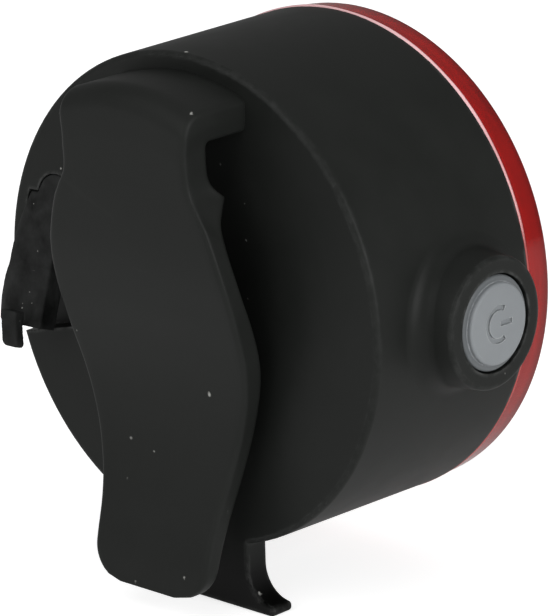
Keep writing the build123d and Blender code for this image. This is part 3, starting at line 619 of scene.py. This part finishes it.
def clip_stations():
    # Pairs of an inner and an outer (y, z) point, from the rear face round the crown and down to the tip
    stations = []
    crown_y = clip_reach - clip_crown_round
    crown_z = clip_top_radius - clip_crown_round
    bend_y = clip_throat - clip_throat_round
    bend_z = clip_root_height - clip_throat_round
    for i in range(clip_shelf_steps + 1):
        share = i / clip_shelf_steps
        stations.append(((bend_y * share, clip_root_height), (crown_y * share, clip_top_radius)))
    for i in range(1, clip_bend_steps + 1):
        angle = radians(90 * i / clip_bend_steps)
        inner = (bend_y + clip_throat_round * sin(angle), bend_z + clip_throat_round * cos(angle))
        outer = (crown_y + clip_crown_round * sin(angle), crown_z + clip_crown_round * cos(angle))
        stations.append((inner, outer))
    start = clip_share(bend_z)
    outer_start = clip_share(crown_z)
    for i in range(1, clip_arm_steps + 1):
        share = i / clip_arm_steps
        along = start + (1 - start) * share
        lead = outer_start + (1 - outer_start) * share
        profile = clip_cavity_shares if along < clip_inner_shares[0][0] else clip_inner_shares
        inner_y = clip_reach * spline_at(profile, along)
        outer_y = clip_reach * spline_at(clip_outer_shares, max(lead, 0.0))
        stations.append(((inner_y, clip_level(along)), (outer_y, clip_level(lead))))
    return stations


def clip_section(half, thickness):
    # Half a section with rounded edges, as (distance in from the edge, depth) from outside to inside
    radius = min(clip_edge_round, thickness * clip_round_limit)
    corner_turns = [radians(90 * i / clip_corner_steps) for i in range(clip_corner_steps + 1)]
    rows = []
    for i in range(clip_across_steps):
        rows.append((half - (half - radius) * i / clip_across_steps, 0.0))
    for turn in corner_turns:
        rows.append((radius * (1 - sin(turn)), radius * (1 - cos(turn))))
    for i in range(1, clip_flank_steps):
        rows.append((0.0, radius + (thickness - 2 * radius) * i / clip_flank_steps))
    for turn in corner_turns:
        rows.append((radius * (1 - cos(turn)), thickness - radius * (1 - sin(turn))))
    for i in range(1, clip_across_steps + 1):
        rows.append((radius + (half - radius) * i / clip_across_steps, thickness))
    return rows


def clip_ring(inner, outer, arch_share):
    # A section all round, with its outer face arched like the housing by a share
    inner = Vector(inner)
    outer = Vector(outer)
    thickness = (inner - outer).length
    into = (inner - outer) / thickness

    def point(side, in_from_edge, depth):
        spot = outer + into * depth
        x = side * max(clip_half_width_at(spot.y) - in_from_edge, 0.0)
        arch = clip_top_radius - sqrt(clip_top_radius ** 2 - x * x)
        return (x, spot.x, spot.y - arch_share * arch * (1 - depth / thickness))

    rows = clip_section(clip_half_width_at(outer.y), thickness)
    ring = [point(1, *row) for row in rows[:-1]]
    return ring + [point(-1, *row) for row in rows[:0:-1]]


def clip_rings():
    rings = []
    for inner, outer in clip_stations():
        arch_share = min(max((outer[1] - clip_arch_low) / clip_arch_fade, 0.0), 1.0)
        rings.append(clip_ring(inner, outer, arch_share))
    return rings


def clip_piece():
    rings = clip_rings()
    points = [p for ring in rings for p in ring]
    piece = new_piece("clip", points, loft_faces(len(rings), len(rings[0])))
    dress(piece, finishes["clip_black"])
    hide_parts("clip_root", "clip_arm")
    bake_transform(piece)


clip_piece()


# Weld line: the thin bead squeezed out all round between the lens and the housing's rim, coloured as a
# painted highlight
def weld_bead():
    points = []
    for i in range(weld_turns):
        angle = radians(360 * i / weld_turns)
        wobble = noise.noise(Vector((weld_wander * cos(angle), weld_wander * sin(angle), 0)))
        wire = weld_wire * (1 + weld_wander_share * wobble) + weld_swell * max(sin(angle), 0)
        for j in range(weld_sides):
            side = radians(360 * j / weld_sides)
            radius = weld_radius + wire * cos(side)
            depth = weld_depth + wire * sin(side)
            points.append((radius * cos(angle), -depth, radius * sin(angle)))
    faces = []
    for i in range(weld_turns):
        faces += band_faces(i * weld_sides, (i + 1) % weld_turns * weld_sides, weld_sides)
    bead = new_piece("lens_weld_bead", points, faces)
    dress(bead, weld_painted_highlight_finish)
    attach(bead, "light_body")


weld_bead()


# Port cover: flap, tab, plug tongue and anchor as one soft moulding
def cover_roll_end():
    # The radius at which the rolled outer face has sunk by the plate's whole thickness
    return cover_roll_start + sqrt(cover_roll_radius ** 2 - (cover_roll_radius - cover_thickness) ** 2)


def arc(centre, radius, start, end, steps):
    # Points on an arc about centre from one angle to another, both in degrees
    turns = [radians(start + (end - start) * i / steps) for i in range(steps + 1)]
    return [(centre[0] + radius * cos(turn), centre[1] + radius * sin(turn)) for turn in turns]


def angle_of(x, z):
    return degrees(atan2(z, x))


def angle_at_level(radius, z):
    # The angle of the point on a circle about the light's axis that lies at a level
    return angle_of(sqrt(radius ** 2 - z ** 2), z)


def cover_outline():
    # The closed cover's plate seen from behind
    head = port_head_radius - cover_gap
    head_z = port_head_z + sqrt(head ** 2 - (port_head_x - cover_inner_x) ** 2)
    ear_z = port_ear_z - cover_gap
    ear = port_ear_radius - cover_gap
    end = cover_roll_end()
    head_start = angle_of(cover_inner_x - port_head_x, head_z - port_head_z)
    neck = angle_at_level(head, ear_z - port_head_z)
    ear_start = angle_at_level(ear, ear_z)
    ear_end = angle_of(ear, -cover_gap)
    flank = angle_at_level(end, cover_flank_z)
    rim_low = angle_at_level(end, -cover_low_z)
    points = [(cover_inner_x, -cover_low_z)]
    points += arc((port_head_x, port_head_z), head, head_start, neck, cover_neck_steps)
    points += arc((0, 0), ear, ear_start, ear_end, cover_ear_steps)
    points += arc((0, 0), end, flank, rim_low, cover_rim_steps)
    return points


def tab_outline(high, low):
    # The pull tab's band beside the rim between two levels, its low corners cut
    bottom = sqrt(tab_outer_radius ** 2 - low ** 2)
    inner_bottom = sqrt(tab_inner_radius ** 2 - low ** 2)
    outer_top = angle_at_level(tab_outer_radius, -high)
    outer_low = angle_of(bottom, tab_corner - low)
    inner_low = angle_of(inner_bottom, tab_corner - low)
    inner_top = angle_at_level(tab_inner_radius, -high)
    outer = arc((0, 0), tab_outer_radius, outer_top, outer_low, tab_steps)
    inner = arc((0, 0), tab_inner_radius, inner_low, inner_top, tab_steps)
    return outer + [(bottom - tab_corner, -low), (inner_bottom + tab_corner, -low)] + inner


def prism(outline, low, high):
    # Points and faces of an outline of (x, z) corners between two levels of y
    count = len(outline)
    points = [(x, y, z) for y in (low, high) for x, z in outline]
    faces = [tuple(range(count)), tuple(reversed(range(count, 2 * count)))]
    faces += [(i, (i + 1) % count, (i + 1) % count + count, i + count) for i in range(count)]
    return points, faces


def box_outline(x, z, width, height):
    return [(x - width / 2, z - height / 2), (x + width / 2, z - height / 2),
            (x + width / 2, z + height / 2), (x - width / 2, z + height / 2)]


def cover_solids():
    # The closed cover's overlapping solids: plate, the tab's two steps, plug tongue, anchor and barb
    plug = box_outline(tongue_x, tongue_z, tongue_width, tongue_length)
    anchor = box_outline(port_head_x, anchor_z, anchor_width, anchor_height)
    barb = box_outline(port_head_x, anchor_z, barb_width, anchor_height)
    return [
        prism(cover_outline(), -cover_thickness, 0),
        prism(tab_outline(tab_top_z, cover_low_z), -tab_clear, tab_height),
        prism(tab_outline(tab_top_z, tab_low_z), tab_clear, tab_height),
        prism(plug, -cover_thickness - tongue_depth, -cover_thickness / 2),
        prism(anchor, -anchor_depth, -cover_thickness / 2),
        prism(barb, -anchor_depth, -anchor_depth + barb_depth),
    ]


def remeshed(piece, voxel):
    # Fuses the piece's overlapping solids into one even skin
    modifier = piece.modifiers.new("fuse", "REMESH")
    modifier.mode = "VOXEL"
    modifier.voxel_size = voxel * mm
    graph = bpy.context.evaluated_depsgraph_get()
    skin = bpy.data.meshes.new_from_object(piece.evaluated_get(graph))
    piece.modifiers.clear()
    piece.data = skin
    return skin


def rolled(x, y, z):
    # Sinks the plate's outer face towards the rim as the moulding does
    beyond = min(sqrt(x * x + z * z), cover_roll_end()) - cover_roll_start
    if beyond <= 0 or y < -cover_thickness:
        return y
    sink = cover_roll_radius - sqrt(cover_roll_radius ** 2 - beyond ** 2)
    share = min((y + cover_thickness) / cover_thickness, 1.0)
    return y - cover_roll_share * sink * share


def lifted(x, y, z):
    # Bends the flap out of its recess about the hinge line
    share = min(max((cover_hinge_z + cover_bend_length / 2 - z) / cover_bend_length, 0.0), 1.0)
    turn = radians(cover_lift_angle) * share * share * (3 - 2 * share)
    down = z - cover_hinge_z
    return (x, y * cos(turn) - down * sin(turn), cover_hinge_z + y * sin(turn) + down * cos(turn))


def ripple_at(place):
    fine = noise.noise(place * fine_ripple_scale)
    return noise.noise(place * ripple_scale) + fine_ripple_share * fine


def cover_piece():
    points = []
    faces = []
    for solid_points, solid_faces in cover_solids():
        faces += [tuple(i + len(points) for i in face) for face in solid_faces]
        points += solid_points
    piece = new_piece("charging_port_cover", points, faces)
    skin = remeshed(piece, silicone_voxel)
    work = bmesh.new()
    work.from_mesh(skin)
    for _ in range(silicone_smooth_rounds):
        bmesh.ops.smooth_vert(work, verts=work.verts, factor=silicone_smooth_factor,
                              use_axis_x=True, use_axis_y=True, use_axis_z=True)
    work.normal_update()
    for vert in work.verts:
        x, y, z = vert.co / mm + vert.normal * silicone_swell
        vert.co = Vector((x, rolled(x, y, z), z)) * mm
    work.normal_update()
    for vert in work.verts:
        place = vert.co / mm
        if place.y > -cover_thickness:
            vert.co += vert.normal * ripple_at(place) * silicone_ripple * mm
    for vert in work.verts:
        vert.co = Vector(lifted(*(vert.co / mm))) * mm
    work.to_mesh(skin)
    work.free()
    skin.shade_smooth()
    dress(piece, finishes["cover_silicone"])
    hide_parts("port_cover", "port_cover_anchor")
    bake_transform(piece)


cover_piece()


# Room: a pale floor that keeps the shadow, a white background and soft lamps
def ray_tree(owner):
    # Clears the owner's nodes and gives a mask of the rays that show a background
    owner.use_nodes = True
    owner.node_tree.nodes.clear()
    w = Wiring(owner.node_tree)
    rays = w.add("ShaderNodeLightPath").outputs
    return w, w.math("MAXIMUM", rays["Is Camera Ray"], rays["Is Transmission Ray"])


def make_world():
    world = bpy.data.worlds.new("studio")
    scene.world = world
    w, seen = ray_tree(world)
    soft = w.add("ShaderNodeBackground", {"Color": (1, 1, 1, 1), "Strength": world_soft})
    white = w.add("ShaderNodeBackground", {"Color": (1, 1, 1, 1), "Strength": world_white})
    both = w.add("ShaderNodeMixShader", {0: seen, 1: soft.outputs[0], 2: white.outputs[0]})
    w.add("ShaderNodeOutputWorld", {"Surface": both.outputs[0]})


def make_floor():
    low = -hook_drop * mm
    corners = [(x * floor_half, y * floor_half, low) for x, y in ((-1, -1), (1, -1), (1, 1), (-1, 1))]
    mesh = bpy.data.meshes.new("floor")
    mesh.from_pydata(corners, [], [(0, 1, 2, 3)])
    floor = bpy.data.objects.new("floor", mesh)
    scene.collection.objects.link(floor)
    material = bpy.data.materials.new("floor_pale")
    w, seen = ray_tree(material)
    matt = w.add("ShaderNodeBsdfDiffuse", {"Color": floor_colour})
    glow = w.ramp(seen, 0.0, 1.0, floor_glow, floor_lift)
    lift = w.add("ShaderNodeEmission", {"Color": (1, 1, 1, 1), "Strength": glow})
    both = w.add("ShaderNodeAddShader", {0: matt.outputs[0], 1: lift.outputs[0]})
    w.add("ShaderNodeOutputMaterial", {"Surface": both.outputs[0]})
    mesh.materials.append(material)


def lamp(name, place, side, power):
    # A square soft lamp that faces the light's middle
    data = bpy.data.lights.new(name, "AREA")
    data.shape = "SQUARE"
    data.size = side
    data.energy = power
    light = bpy.data.objects.new(name, data)
    scene.collection.objects.link(light)
    light.location = place
    light.rotation_euler = (-Vector(place)).to_track_quat("-Z", "Y").to_euler()


make_world()
make_floor()
for lamp_name, lamp_place, lamp_side, lamp_power in soft_lamps:
    lamp(lamp_name, lamp_place, lamp_side, lamp_power)
